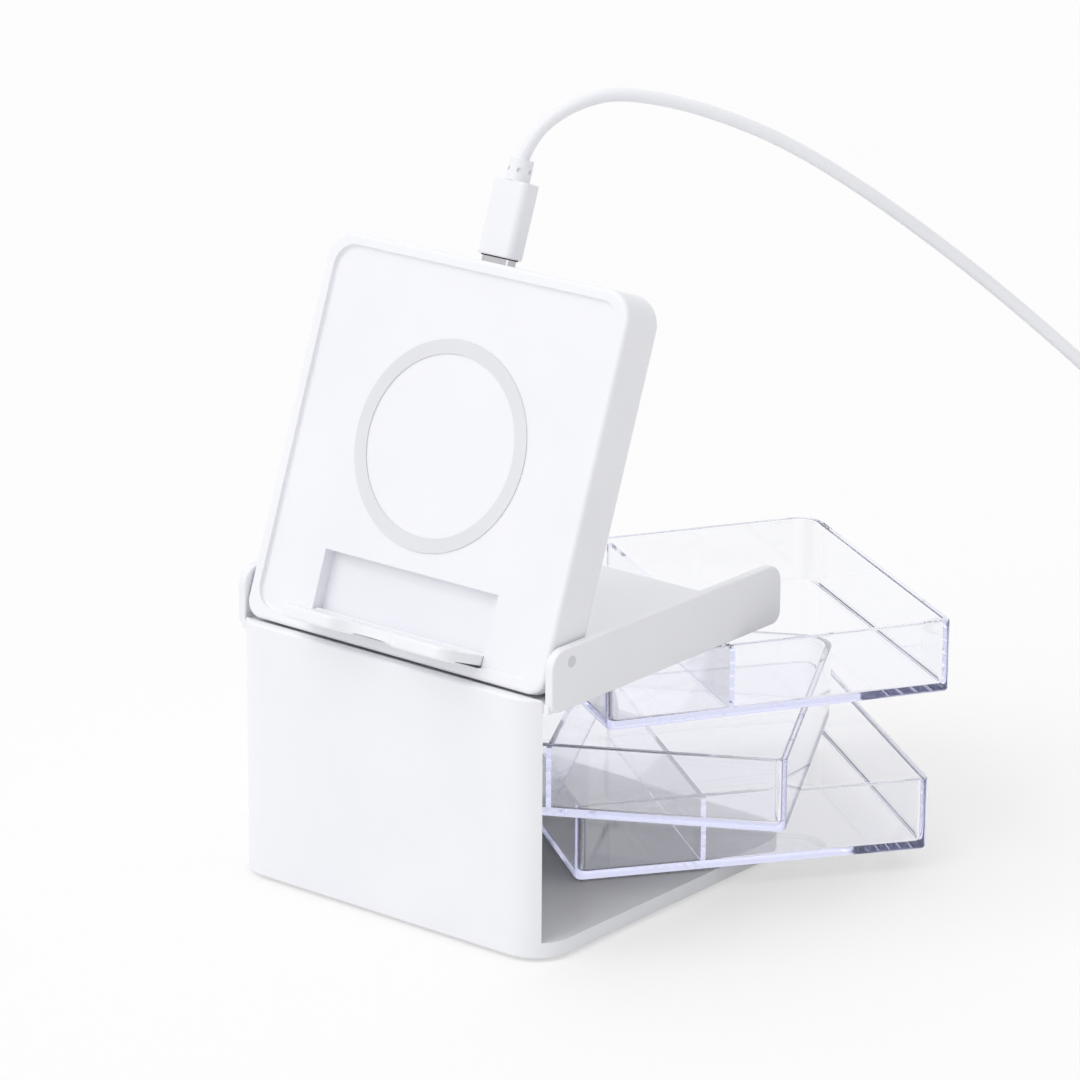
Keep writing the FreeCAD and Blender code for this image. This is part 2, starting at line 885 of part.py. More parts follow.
def make_usb_c_socket():
    socket = new_body("usb_c_socket")
    capsule(socket, "socket_width", "socket_height", "socket_length", "socket_y")
    capsule(
        socket,
        "socket_width - 2 * socket_wall",
        "socket_height - 2 * socket_wall",
        "socket_length - socket_back + overrun",
        "socket_y + socket_back",
        cut=True,
    )
    block(
        socket,
        ("socket_tongue_width", "socket_tongue_length", "socket_tongue_height"),
        ("-socket_tongue_width / 2", "socket_y + socket_back", "port_z - socket_tongue_height / 2"),
    )
    leaned(socket)


def make_pad_screws():
    screws = new_body("pad_screws")
    for x, y in screw_places():
        head = (x, y, "screw_seat_z - screw_head_height")
        drum(screws, "screw_head_radius", "screw_head_height", head)
        drum(screws, "screw_radius", "screw_length", (x, y, "screw_seat_z"))
        span, width = "screw_drive_span", "screw_drive_width"
        for long, wide in ((span, width), (width, span)):
            block(
                screws,
                (long, wide, "screw_drive_depth + overrun"),
                (
                    f"{x} - {long} / 2",
                    f"{y} - {wide} / 2",
                    "screw_seat_z - screw_head_height - overrun",
                ),
                cut=True,
            )
    leaned(screws)


def make_ledge_pin():
    pin = new_body("ledge_pin")
    drum(
        pin,
        "ledge_pin_radius",
        "pocket_width + 2 * ledge_pin_seat - 2 * press_gap",
        ("-pocket_width / 2 - ledge_pin_seat + press_gap", "ledge_y", "ledge_z"),
        along="x",
    )
    leaned(pin)


def make_phone_ledge():
    ledge = new_body("phone_ledge")
    foot = "ledge_z - ledge_thickness / 2"
    free_edge = "ledge_y + ledge_reach"
    block(
        ledge,
        ("ledge_width", "ledge_reach", "ledge_thickness"),
        ("-ledge_width / 2", "ledge_y", foot),
    )
    drum(
        ledge,
        "ledge_scoop_radius",
        "ledge_thickness + 2 * overrun",
        ("0", f"{free_edge} + ledge_scoop_radius - ledge_scoop_depth", f"{foot} - overrun"),
        cut=True,
    )
    along_free_edge = upright_in(("-ledge_width / 2", free_edge), ("ledge_width / 2", free_edge))
    soften(ledge, "ledge_corner", along_free_edge)
    half = mm("ledge_y + ledge_thickness")
    low = level_at(foot)
    high = level_at("ledge_z + ledge_thickness / 2")

    def outer_edge(edge):
        return (low(edge) or high(edge)) and any(vertex.Point.y > half for vertex in edge.Vertexes)

    soften(ledge, "ledge_edge_round", outer_edge)
    for start in ("ledge_z + ledge_waist / 2", "ledge_z - ledge_waist / 2 - overrun"):
        block(
            ledge,
            ("ledge_width + 2 * overrun", "ledge_reach - ledge_lip + overrun", "overrun"),
            ("-ledge_width / 2 - overrun", "ledge_y - overrun", start),
            cut=True,
        )
    drum(ledge, "ledge_thickness / 2", "ledge_width", ("-ledge_width / 2", "ledge_y", "ledge_z"), along="x")
    drum(
        ledge,
        "ledge_pin_radius + ledge_pin_play",
        "ledge_width + 2 * overrun",
        ("-ledge_width / 2 - overrun", "ledge_y", "ledge_z"),
        along="x",
        cut=True,
    )
    leaned(ledge)
    unfold = FreeCAD.Rotation(FreeCAD.Vector(1, 0, 0), mm("ledge_angle"))
    hinge = vector("0", "ledge_y", "ledge_z")
    ledge.Placement = ledge.Placement * FreeCAD.Placement(FreeCAD.Vector(), unfold, hinge)


# Plug in the pad's port


def make_plug_shell():
    shell = new_body("plug_shell")
    start = "socket_y + socket_back + plug_seat_gap"
    capsule(shell, "plug_shell_width", "plug_shell_height", f"plug_y - ({start})", start)
    capsule(
        shell,
        "plug_shell_width - 2 * plug_shell_wall",
        "plug_shell_height - 2 * plug_shell_wall",
        f"pad_high_y - ({start}) + overrun",
        f"{start} - overrun",
        cut=True,
    )
    leaned(shell)


def make_plug_overmould():
    plug = new_body("plug_overmould")
    block(
        plug,
        ("plug_width", "plug_length", "plug_height"),
        ("-plug_width / 2", "plug_y", "port_z - plug_height / 2"),
    )
    soften(plug, "plug_corner", lambda edge: runs_along(edge, "y"))
    far = mm("relief_y")
    near = mm("plug_y")

    def on_end(edge):
        ends = [vertex.Point.y for vertex in edge.Vertexes]
        return all(same(y, near) for y in ends) or all(same(y, far) for y in ends)

    soften(plug, "plug_end_round", on_end)
    leaned(plug)


def make_plug_relief():
    relief = new_body("plug_relief")
    taper(
        relief,
        "relief_base_radius",
        "relief_tip_radius",
        "relief_length",
        ("0", "relief_y", "port_z"),
        "y",
    )
    middle = "relief_y + relief_length / 2"
    inner = "(relief_tip_radius - dimple_depth)"
    for number in range(DIMPLES):
        outward = FreeCAD.Rotation(FreeCAD.Vector(0, 1, 0), mm("dimple_angle") + number * 360 / DIMPLES)
        heading = outward.multVec(FreeCAD.Vector(0, 0, 1))
        start = (f"{heading.x} * {inner}", middle, f"port_z + {heading.z} * {inner}")
        hole = drum(relief, "dimple_radius", "dimple_depth + overrun", start, cut=True)
        hole.Placement = FreeCAD.Placement(hole.Placement.Base, outward)
    leaned(relief)


# Trays, drawn closed


def make_tray(name, level):
    tray = new_body("tray_" + name)
    foot = "base_top + tray_gap"
    right = "tray_left + tray_width"
    block(
        tray,
        ("tray_width", "tray_depth", "tray_height"),
        ("tray_left", "tray_front", foot),
    )
    block(
        tray,
        ("tray_width - 2 * tray_wall", "tray_depth - 2 * tray_wall", "tray_height"),
        ("tray_left + tray_wall", "tray_front + tray_wall", f"{foot} + tray_floor"),
        cut=True,
    )
    front_inner = "tray_front + tray_wall"
    near_corners = upright_at(
        ("tray_left + tray_wall", front_inner), (f"{right} - tray_wall", front_inner)
    )
    soften(tray, "tray_inner_corner", near_corners)
    far_corner = upright_at((f"{right} - tray_wall", "tray_rear - tray_wall"))
    soften(tray, "tray_far_corner - tray_wall", far_corner)
    soften(tray, "tray_inner_round", level_at(f"{foot} + tray_floor"))
    soften(tray, "tray_corner", upright_at(("tray_left", "tray_front"), (right, "tray_front")))
    soften(tray, "tray_far_corner", upright_at((right, "tray_rear")))
    soften(tray, "tray_foot_round", level_at(foot))
    soften(tray, "tray_rim_round", level_at(f"{foot} + tray_height"))
    block(
        tray,
        (
            "divider_thickness",
            "tray_depth - 2 * tray_wall",
            "tray_height - tray_floor - divider_drop",
        ),
        (
            "tray_left + divider_place - divider_thickness / 2",
            front_inner,
            f"{foot} + tray_floor",
        ),
    )
    drum(tray, "knuckle_radius", "tray_height", ("pivot_x", "pivot_y", foot))
    drum(
        tray,
        "rod_radius + rod_play",
        "tray_height + 2 * overrun",
        ("pivot_x", "pivot_y", f"{foot} - overrun"),
        cut=True,
    )
    turned(
        tray,
        FreeCAD.Vector(0, 0, 1),
        f"tray_{name}_angle",
        vector("pivot_x", "pivot_y", "0"),
        f"{level} * tray_pitch",
    )


# Cable: straight runs joined by arcs, then a coil of half turns in two layers


def bend(before, corner, after):
    """The arc that leaves one point and reaches the next, tangent to both runs at a corner."""
    back = (before - corner).normalize()
    onward = (after - corner).normalize()
    trim = (before - corner).Length
    half_turn = (math.pi - back.getAngle(onward)) / 2
    radius = trim / math.tan(half_turn)
    inward = (back + onward).normalize()
    middle = corner + inward * (radius / math.cos(half_turn) - radius)
    return Part.Arc(before, middle, after).toShape(), radius


def run(start, end):
    return Part.LineSegment(start, end).toShape()


def cord_path(points):
    """Edges of a path through the points, and the radii of its bends."""
    edges = []
    radii = []
    start = points[0]
    for before, corner, after in zip(points, points[1:], points[2:]):
        trim = ARC_SHARE * min((before - corner).Length, (after - corner).Length)
        enter = corner + (before - corner).normalize() * trim
        leave = corner + (after - corner).normalize() * trim
        arc, radius = bend(enter, corner, leave)
        edges += [run(start, enter), arc]
        radii.append(radius)
        start = leave
    edges.append(run(start, points[-1]))
    return edges, radii


def tube(label, edges, start, heading):
    """A round cord along a path, checked against its length and section."""
    path = Part.Wire(edges)
    radius = mm("cable_diameter / 2")
    section = Part.Wire(Part.makeCircle(radius, start, heading))
    shape = path.makePipeShell([section], True, False)
    wanted = math.pi * radius**2 * path.Length
    print(f"{label}: length {path.Length:.1f}, volume share {shape.Volume / wanted:.4f}")
    feature = doc.addObject("Part::Feature", label)
    feature.Shape = shape
    made.append(feature)
    return path


def coil_stations():
    """Where each half turn of the coil begins and ends, and which way the cord heads there."""
    center = vector("coil_center_x", "coil_center_y", "0")
    turns = COIL_LAYER_HALF_TURNS
    step = mm("coil_pitch / 2")
    stations = []
    for number in range(2 * turns + 2):
        inward = min(number, 2 * turns + 1 - number)
        if inward == turns:
            inward += 1
        radius = mm("coil_start_radius") - inward * step
        angle = math.radians(mm("coil_start_angle")) - math.pi * number
        height = mm("coil_low_z") + (mm("coil_pitch") if number > turns else 0)
        out = FreeCAD.Vector(math.cos(angle), math.sin(angle), 0)
        heading = FreeCAD.Vector(math.sin(angle), -math.cos(angle), 0)
        stations.append((center + out * radius + FreeCAD.Vector(0, 0, height), heading))
    end, heading = stations[-1]
    drop = end.z - mm("usb_height / 2")
    stations.append((end + heading * mm("coil_lead") - FreeCAD.Vector(0, 0, drop), heading))
    return stations


def two_arcs(start, start_heading, end, end_heading):
    """Two tangent arcs between two stations."""
    across = end - start
    if start_heading.dot(end_heading) < 0:
        reach = across.Length / 2
    else:
        reach = across.dot(across) / (4 * across.dot(start_heading))
    first = start + start_heading * reach
    second = end - end_heading * reach
    joint = (first + second) / 2
    return [bend(start, first, joint), bend(joint, second, end)]


def make_cable_coil():
    stations = coil_stations()
    straight = mm("cable_diameter")
    first, first_heading = stations[0]
    last, last_heading = stations[-1]
    start = first - first_heading * straight
    edges = [run(start, first)]
    radii = []
    for (begin, begin_heading), (end, end_heading) in zip(stations, stations[1:]):
        for arc, radius in two_arcs(begin, begin_heading, end, end_heading):
            edges.append(arc)
            radii.append(radius)
    tail = last + last_heading * straight
    edges.append(run(last, tail))
    path = tube("cable_coil", edges, start, first_heading)
    print(f"coil: smallest radius {min(radii):.2f}, self gap {self_gap(path):.3f}")
    return start, first_heading, tail


def self_gap(path):
    """The smallest room between two stretches of the coil."""
    spacing = mm("cable_diameter") / 4
    points = path.discretize(int(path.Length / spacing))
    apart = int(APART_SHARE * mm("cable_diameter") / spacing)
    nearest = min(
        (points[number] - other).Length
        for number in range(len(points))
        for other in points[number + apart:]
    )
    return nearest - mm("cable_diameter")


def make_cable(coil_start, coil_heading):
    tilt = FreeCAD.Rotation(FreeCAD.Vector(1, 0, 0), mm("pad_angle"))
    lean = FreeCAD.Placement(FreeCAD.Vector(), tilt, vector("0", "hinge_y", "hinge_z"))
    heading = tilt.multVec(FreeCAD.Vector(0, 1, 0))
    start = lean.multVec(vector("0", "cable_y", "port_z")) + heading * mm("cable_start_gap")
    diameter = mm("cable_diameter")
    points = [start, start + heading * CABLE_FIRST_RUN_SHARE * diameter]
    points += [FreeCAD.Vector(*point) for point in CABLE_ROUTE]
    points += [coil_start - coil_heading * CABLE_LAST_RUN_SHARE * diameter, coil_start]
    edges, radii = cord_path(points)
    tube("cable", edges, start, heading)
    print("cable radii " + " ".join(f"{radius:.1f}" for radius in radii))


def make_coil_tie():
    tie = new_body("coil_tie")
    coil_width = f"{COIL_LAYER_HALF_TURNS + 1} * coil_pitch / 2"
    margin = "cable_diameter / 2 + tie_gap"
    room_start = f"coil_start_radius - {coil_width} - ({margin}) - tie_inner_room"
    room_long = f"{coil_width} + 2 * ({margin}) + tie_inner_room"
    room_high = f"coil_pitch + 2 * ({margin})"
    block(
        tie,
        (f"{room_long} + 2 * tie_thickness", "tie_width", f"{room_high} + 2 * tie_thickness"),
        (f"{room_start} - tie_thickness", "-tie_width / 2", "0"),
    )
    soften(tie, "cable_diameter / 2", lambda edge: runs_along(edge, "y"))
    block(
        tie,
        (room_long, "tie_width + 2 * overrun", room_high),
        (room_start, "-tie_width / 2 - overrun", "tie_thickness"),
        cut=True,
    )
    spin = FreeCAD.Rotation(FreeCAD.Vector(0, 0, 1), mm("tie_angle"))
    tie.Placement = FreeCAD.Placement(vector("coil_center_x", "coil_center_y", "0"), spin)


def at_cable_end(body, end):
    spin = FreeCAD.Rotation(FreeCAD.Vector(0, 0, 1), mm("coil_start_angle"))
    body.Placement = FreeCAD.Placement(end, spin)


def make_usb_plug(end):
    plug = new_body("usb_plug_overmould")
    block(
        plug,
        ("usb_width", "usb_length", "usb_height"),
        ("-usb_width / 2", "usb_relief_length", "-usb_height / 2"),
    )
    soften(plug, "usb_corner", lambda edge: runs_along(edge, "y"))
    taper(
        plug,
        "usb_relief_tip_radius",
        "usb_relief_base_radius",
        "usb_relief_length",
        ("0", "0", "0"),
        "y",
    )
    seat = "usb_relief_length + usb_length - usb_shell_seat"
    outer = ("usb_shell_width + 2 * press_gap", "usb_shell_height + 2 * press_gap")
    block(
        plug,
        (outer[0], "usb_shell_seat + overrun", outer[1]),
        (f"-({outer[0]}) / 2", seat, f"-({outer[1]}) / 2"),
        cut=True,
    )
    block(
        plug,
        ("usb_tongue_width", "usb_shell_length - usb_tongue_lift", "usb_tongue_height"),
        ("-usb_tongue_width / 2", seat, "usb_tongue_lift"),
    )
    at_cable_end(plug, end)

    shell = new_body("usb_plug_shell")
    block(
        shell,
        ("usb_shell_width", "usb_shell_length", "usb_shell_height"),
        ("-usb_shell_width / 2", seat, "-usb_shell_height / 2"),
    )
    inner = ("usb_shell_width - 2 * usb_shell_wall", "usb_shell_height - 2 * usb_shell_wall")
    block(
        shell,
        (inner[0], "usb_shell_length + 2 * overrun", inner[1]),
        (f"-({inner[0]}) / 2", f"{seat} - overrun", f"-({inner[1]}) / 2"),
        cut=True,
    )
    at_cable_end(shell, end)


def write_parts():
    doc.recompute()
    os.makedirs("parts", exist_ok=True)
    for item in doc.Objects:
        if "Invalid" in item.State or "Error" in item.State:
            raise RuntimeError(f"{item.Label} did not work out: {item.State}")
    for item in made:
        shape = item.Shape
        if shape.isNull() or not shape.isValid():
            raise RuntimeError(f"{item.Label} has no valid shape")
        shape.exportStep(f"parts/{item.Label}.step")
        print(f"{item.Label}: {len(shape.Solids)} solid, {shape.Volume:.1f}")


fill_sheet()
make_housing_shell()
make_foot_sheet()
make_deck_frame()
make_pivot_rod()
make_rod_insert()
make_tray_washers()
make_pad_hinge_pins()
make_pad_front_shell()
make_pad_rear_shell()
make_grip_ring()
make_charging_coil()
make_ferrite_sheet()
make_circuit_board()
make_board_parts()
make_usb_c_socket()
make_pad_screws()
make_ledge_pin()
make_phone_ledge()
make_plug_shell()
make_plug_overmould()
make_plug_relief()
for tray_level, tray_name in enumerate(TRAY_NAMES):
    make_tray(tray_name, tray_level)
cable_end, cable_heading, cord_end = make_cable_coil()
make_cable(cable_end, cable_heading)
make_coil_tie()
make_usb_plug(cord_end)
write_parts()
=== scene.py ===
"""Charging station organizer: a white housing with three clear swing-out trays, a tilting charging
pad with a phone ledge, and a white cable that runs to a tied coil on the table.

Lengths in the constants are millimetres and angles are degrees, unless a comment says otherwise.
"""
import bpy
import bmesh
import json
import math
from mathutils import Matrix, Vector


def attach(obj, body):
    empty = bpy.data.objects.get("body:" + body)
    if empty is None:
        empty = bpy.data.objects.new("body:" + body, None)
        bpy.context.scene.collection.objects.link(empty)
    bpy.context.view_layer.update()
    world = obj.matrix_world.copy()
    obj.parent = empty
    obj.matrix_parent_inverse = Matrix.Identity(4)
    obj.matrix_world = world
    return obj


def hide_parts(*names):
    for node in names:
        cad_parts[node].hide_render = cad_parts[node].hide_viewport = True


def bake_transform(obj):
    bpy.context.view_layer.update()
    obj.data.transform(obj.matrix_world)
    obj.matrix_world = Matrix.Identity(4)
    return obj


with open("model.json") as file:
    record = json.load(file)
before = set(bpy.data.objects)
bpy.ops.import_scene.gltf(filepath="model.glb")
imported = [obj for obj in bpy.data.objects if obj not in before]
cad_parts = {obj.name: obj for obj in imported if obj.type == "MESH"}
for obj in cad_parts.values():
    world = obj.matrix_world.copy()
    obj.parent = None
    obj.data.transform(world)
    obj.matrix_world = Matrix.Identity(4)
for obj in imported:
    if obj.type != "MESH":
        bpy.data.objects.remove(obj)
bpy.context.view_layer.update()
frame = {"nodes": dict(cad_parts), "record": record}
scene = bpy.context.scene
MM = 0.001

# Camera

CAMERA_PLACE = (0.68114, -0.82717, 0.42476)  # metres
CAMERA_TURN = -39.191
CAMERA_DIP = 18.242
CAMERA_LEAN = 0.338
CAMERA_LENS = 180.59
CAMERA_SENSOR = 36.0
CAMERA_REACH = 20.0  # metres


def aim_camera():
    """A long lens in front of the right corner, above the pad, leaning by a third of a degree."""
    turn = math.radians(CAMERA_TURN)
    dip = math.radians(CAMERA_DIP)
    lean = math.radians(CAMERA_LEAN)
    ahead = Vector(
        (math.sin(turn) * math.cos(dip), math.cos(turn) * math.cos(dip), -math.sin(dip))
    )
    level = Vector((math.cos(turn), -math.sin(turn), 0.0))
    above = level.cross(ahead)
    across = level * math.cos(lean) + above * math.sin(lean)
    upward = above * math.cos(lean) - level * math.sin(lean)
    facing = Matrix((across, upward, -ahead)).transposed().to_4x4()
    camera = bpy.data.objects.new("camera", bpy.data.cameras.new("camera"))
    camera.data.sensor_width = CAMERA_SENSOR
    camera.data.lens = CAMERA_LENS
    camera.data.clip_end = CAMERA_REACH
    camera.matrix_world = Matrix.Translation(CAMERA_PLACE) @ facing
    scene.collection.objects.link(camera)
    scene.camera = camera


# Finishes

# Mouldings: darker and lighter tone, grain to the metre, grain's height in metres, roughness,
# roughness's spread
MOULDINGS = {
    "white_shell": ((0.895, 0.9, 0.94), (0.915, 0.92, 0.955), 2600.0, 1.5e-5, 0.36, 0.04),
    "cable_white": ((0.88, 0.885, 0.925), (0.91, 0.915, 0.95), 1800.0, 2e-5, 0.42, 0.05),
    "foot_rubber": ((0.05, 0.05, 0.052), (0.07, 0.07, 0.072), 1500.0, 4e-5, 0.8, 0.05),
    "washer_plastic": ((0.84, 0.84, 0.84), (0.88, 0.88, 0.88), 2200.0, 1e-5, 0.5, 0.05),
    "grip_silicone": ((0.76, 0.765, 0.8), (0.8, 0.805, 0.835), 1600.0, 3e-5, 0.7, 0.05),
    "ferrite": ((0.03, 0.03, 0.033), (0.05, 0.05, 0.055), 900.0, 4e-5, 0.7, 0.06),
    "board_laminate": ((0.01, 0.14, 0.06), (0.02, 0.2, 0.09), 1200.0, 2e-5, 0.4, 0.06),
    "chip_black": ((0.02, 0.02, 0.022), (0.03, 0.03, 0.033), 2000.0, 2e-5, 0.55, 0.05),
}
# Metals: darker and lighter tone, tool marks to the metre, roughness, roughness's spread
METALS = {
    "steel": ((0.58, 0.58, 0.6), (0.66, 0.66, 0.68), 3000.0, 0.3, 0.06),
    # Bright steel's tones sit below plain steel's. This is partly the plated shells' own tone and
    # partly painted shade for the dark reflections on the plug shells.
    "bright_steel": ((0.5, 0.5, 0.52), (0.58, 0.58, 0.6), 3000.0, 0.2, 0.05),
    "brass": ((0.7, 0.52, 0.24), (0.78, 0.6, 0.3), 2500.0, 0.3, 0.06),
    "copper_winding": ((0.6, 0.3, 0.16), (0.72, 0.4, 0.24), 1800.0, 0.35, 0.06),
}
METAL_MARK_HEIGHT = 2e-6  # metres
GRAIN_STRENGTH = 0.15
GRAIN_DETAIL = 3.0
PATCH_BREADTH = 60  # times the grain
PATCH_DETAIL = 2.0
TONE_SPAN = (0.35, 0.65)

TIE_TONES = ((0.015, 0.015, 0.016), (0.045, 0.045, 0.047))
TIE_LOOPS = 1400.0  # to the metre
TIE_LOOP_HEIGHT = 2e-4  # metres
TIE_LOOP_STRENGTH = 0.8
TIE_ROUGHNESS = 0.85
TIE_SHEEN = 0.3

TRAY_TONE = (0.98, 0.982, 1.0, 1.0)
TRAY_REFRACTION = 1.49
TRAY_FLOW = 30.0  # to the metre
TRAY_FLOW_DETAIL = 1.0
TRAY_FLOW_HEIGHT = 5e-5  # metres
TRAY_FLOW_STRENGTH = 0.1
TRAY_ROUGHNESS = (0.0, 0.04)
TRAY_EDGE_TINT = (0.2, 0.25, 0.85, 1.0)
TRAY_EDGE_DENSITY = 4.5


def finish(name):
    """A new material, its nodes, its links and its main shader."""
    material = bpy.data.materials.new(name)
    material.use_nodes = True
    nodes = material.node_tree.nodes
    return material, nodes, material.node_tree.links, nodes["Principled BSDF"]


def clouds(nodes, links, place, scale, detail):
    """A cloudy pattern on the piece's own coordinates."""
    pattern = nodes.new("ShaderNodeTexNoise")
    pattern.inputs["Scale"].default_value = scale
    pattern.inputs["Detail"].default_value = detail
    links.new(place.outputs["Object"], pattern.inputs["Vector"])
    return pattern.outputs["Fac"]


def raise_by(nodes, links, shader, pattern, strength, height):
    """Lets a pattern raise the surface."""
    bump = nodes.new("ShaderNodeBump")
    bump.inputs["Strength"].default_value = strength
    bump.inputs["Distance"].default_value = height
    links.new(pattern, bump.inputs["Height"])
    links.new(bump.outputs["Normal"], shader.inputs["Normal"])


def roughen_by(nodes, links, shader, pattern, low, high):
    """Lets a pattern move the roughness between two values."""
    span = nodes.new("ShaderNodeMapRange")
    span.inputs["To Min"].default_value = low
    span.inputs["To Max"].default_value = high
    links.new(pattern, span.inputs["Value"])
    links.new(span.outputs["Result"], shader.inputs["Roughness"])


def tint_by(nodes, links, shader, pattern, tones, span):
    """Lets a pattern move the colour between two close tones."""
    ramp = nodes.new("ShaderNodeValToRGB")
    for number in range(2):
        stop = ramp.color_ramp.elements[number]
        stop.position = span[number]
        stop.color = (*tones[number], 1.0)
    links.new(pattern, ramp.inputs["Fac"])
    links.new(ramp.outputs["Color"], shader.inputs["Base Color"])


def moulded(name, low, high, grain, height, roughness, spread):
    """A moulded surface: a fine grain, and a tone and a roughness that wander a little."""
    material, nodes, links, shader = finish(name)
    place = nodes.new("ShaderNodeTexCoord")
    fine = clouds(nodes, links, place, grain, GRAIN_DETAIL)
    raise_by(nodes, links, shader, fine, GRAIN_STRENGTH, height)
    patches = clouds(nodes, links, place, grain / PATCH_BREADTH, PATCH_DETAIL)
    roughen_by(nodes, links, shader, patches, roughness - spread, roughness + spread)
    tint_by(nodes, links, shader, patches, (low, high), TONE_SPAN)
    return material


def metal(name, low, high, marks, roughness, spread):
    """A turned or drawn metal with fine tool marks."""
    material = moulded(name, low, high, marks, METAL_MARK_HEIGHT, roughness, spread)
    shader = material.node_tree.nodes["Principled BSDF"]
    shader.inputs["Metallic"].default_value = 1.0
    return material


def looped_tie():
    """Hook-and-loop tape: a pile of small loops."""
    material, nodes, links, shader = finish("tie_black")
    place = nodes.new("ShaderNodeTexCoord")
    loops = nodes.new("ShaderNodeTexVoronoi")
    loops.inputs["Scale"].default_value = TIE_LOOPS
    links.new(place.outputs["Object"], loops.inputs["Vector"])
    pile = loops.outputs["Distance"]
    raise_by(nodes, links, shader, pile, TIE_LOOP_STRENGTH, TIE_LOOP_HEIGHT)
    tint_by(nodes, links, shader, pile, TIE_TONES, (0.0, 1.0))
    shader.inputs["Roughness"].default_value = TIE_ROUGHNESS
    shader.inputs["Sheen Weight"].default_value = TIE_SHEEN
    return material


def clear_tray():
    """Clear styrene: its walls show faint flow marks and its thick edges a lavender tint."""
    material, nodes, links, shader = finish("clear_tray")
    shader.inputs["Base Color"].default_value = TRAY_TONE
    shader.inputs["Transmission Weight"].default_value = 1.0
    shader.inputs["IOR"].default_value = TRAY_REFRACTION
    place = nodes.new("ShaderNodeTexCoord")
    flow = clouds(nodes, links, place, TRAY_FLOW, TRAY_FLOW_DETAIL)
    raise_by(nodes, links, shader, flow, TRAY_FLOW_STRENGTH, TRAY_FLOW_HEIGHT)
    roughen_by(nodes, links, shader, flow, *TRAY_ROUGHNESS)
    depth = nodes.new("ShaderNodeVolumeAbsorption")
    depth.inputs["Color"].default_value = TRAY_EDGE_TINT
    depth.inputs["Density"].default_value = TRAY_EDGE_DENSITY
    links.new(depth.outputs["Volume"], nodes["Material Output"].inputs["Volume"])
    return material


def make_finishes():
    """Every finish of the object, by the name of its slot."""
    finishes = {name: moulded(name, *look) for name, look in MOULDINGS.items()}
    finishes.update({name: metal(name, *look) for name, look in METALS.items()})
    finishes["tie_black"] = looped_tie()
    finishes["clear_tray"] = clear_tray()
    return finishes


def dress_solids(finishes):
    """Give every solid of the frame its finish."""
    slots = {part["node"]: part["material_slot"] for part in frame["record"]["subparts"]}
    for node, solid in frame["nodes"].items():
        solid.data.materials.clear()
        solid.data.materials.append(finishes[slots[node]])


# Cable

CABLE_DIAMETER = 2.8
CABLE_ROUTE = [
    (0.0, 1.94, 152.95),
    (1.0, 3.6, 157.0),
    (3.4, 6.9, 161.0),
    (7.0, 11.3, 164.0),
    (11.6, 16.2, 165.8),
    (18.5, 22.9, 164.7),
    (27.0, 31.0, 161.5),
    (38.3, 41.8, 154.8),
    (51.5, 54.0, 143.2),
    (65.5, 67.6, 128.4),
    (80.2, 81.9, 110.8),
    (100.0, 94.2, 90.0),
    (121.5, 101.8, 69.5),
    (141.5, 100.2, 48.0),
    (154.5, 91.2, 29.0),
    (161.3, 80.2, 14.5),
    (163.0, 69.2, 5.5),
]
CABLE_SMOOTHNESS = 8
CABLE_ROUNDNESS = 7
COIL_MIDDLE = (138.0, 55.75)
COIL_START_RADIUS = 21.2
COIL_START_ANGLE = -20.0
COIL_PITCH = 3.26
COIL_LOW = 2.0
COIL_LAYER_HALF_TURNS = 7
COIL_STEPS = 12  # to the half turn
COIL_ENTRY = (13.4, 5.0)
COIL_EXIT = (3.0, 7.0)
COIL_LEAD = 10.0
PLUG_HEIGHT = 4.2


def coil_points():
    """The coil's control points: inward on the table, up, and outward on top."""
    points = []
    last = 2 * COIL_LAYER_HALF_TURNS + 1
    for number in range(last * COIL_STEPS + 1):
        half_turns = number / COIL_STEPS
        inward = min(half_turns, last - half_turns)
        inward += max(0.0, inward - (COIL_LAYER_HALF_TURNS - 1))
        inward = min(inward, COIL_LAYER_HALF_TURNS + 1)
        climb = min(max(half_turns - COIL_LAYER_HALF_TURNS, 0.0), 1.0)
        radius = COIL_START_RADIUS - inward * COIL_PITCH / 2
        angle = math.radians(COIL_START_ANGLE) - math.pi * half_turns
        points.append(
            Vector(
                (
                    COIL_MIDDLE[0] + radius * math.cos(angle),
                    COIL_MIDDLE[1] + radius * math.sin(angle),
                    COIL_LOW + COIL_PITCH * climb,
                )
            )
        )
    return points


def cable_points():
    """The cable's control points from the pad's plug, through the coil, to the far plug."""
    turn = math.radians(COIL_START_ANGLE)
    away = Vector((-math.sin(turn), math.cos(turn), 0.0))
    coil = coil_points()
    entry = [coil[0] + away * reach for reach in COIL_ENTRY]
    leave = [coil[-1] + away * reach for reach in (*COIL_EXIT, COIL_LEAD + CABLE_DIAMETER)]
    for point in leave[1:]:
        point.z = PLUG_HEIGHT
    return [Vector(point) for point in CABLE_ROUTE] + entry + coil + leave


def cable_curve(name, points, thickness):
    """One smooth line through the cable's control points, as thick as asked."""
    curve = bpy.data.curves.new(name, "CURVE")
    curve.dimensions = "3D"
    spline = curve.splines.new("NURBS")
    spline.points.add(len(points) - 1)
    for control, point in zip(spline.points, points):
        control.co = (*(point * MM), 1.0)
    spline.order_u = 3
    spline.use_endpoint_u = True
    spline.resolution_u = CABLE_SMOOTHNESS
    curve.bevel_depth = thickness / 2 * MM
    curve.bevel_resolution = CABLE_ROUNDNESS
    curve.use_fill_caps = True
    return curve


def as_mesh(curve, name):
    """The mesh that Blender makes of a curve."""
    holder = bpy.data.objects.new(name, curve)
    scene.collection.objects.link(holder)
    mesh = bpy.data.meshes.new_from_object(
        holder.evaluated_get(bpy.context.evaluated_depsgraph_get())
    )
    bpy.data.objects.remove(holder)
    return mesh


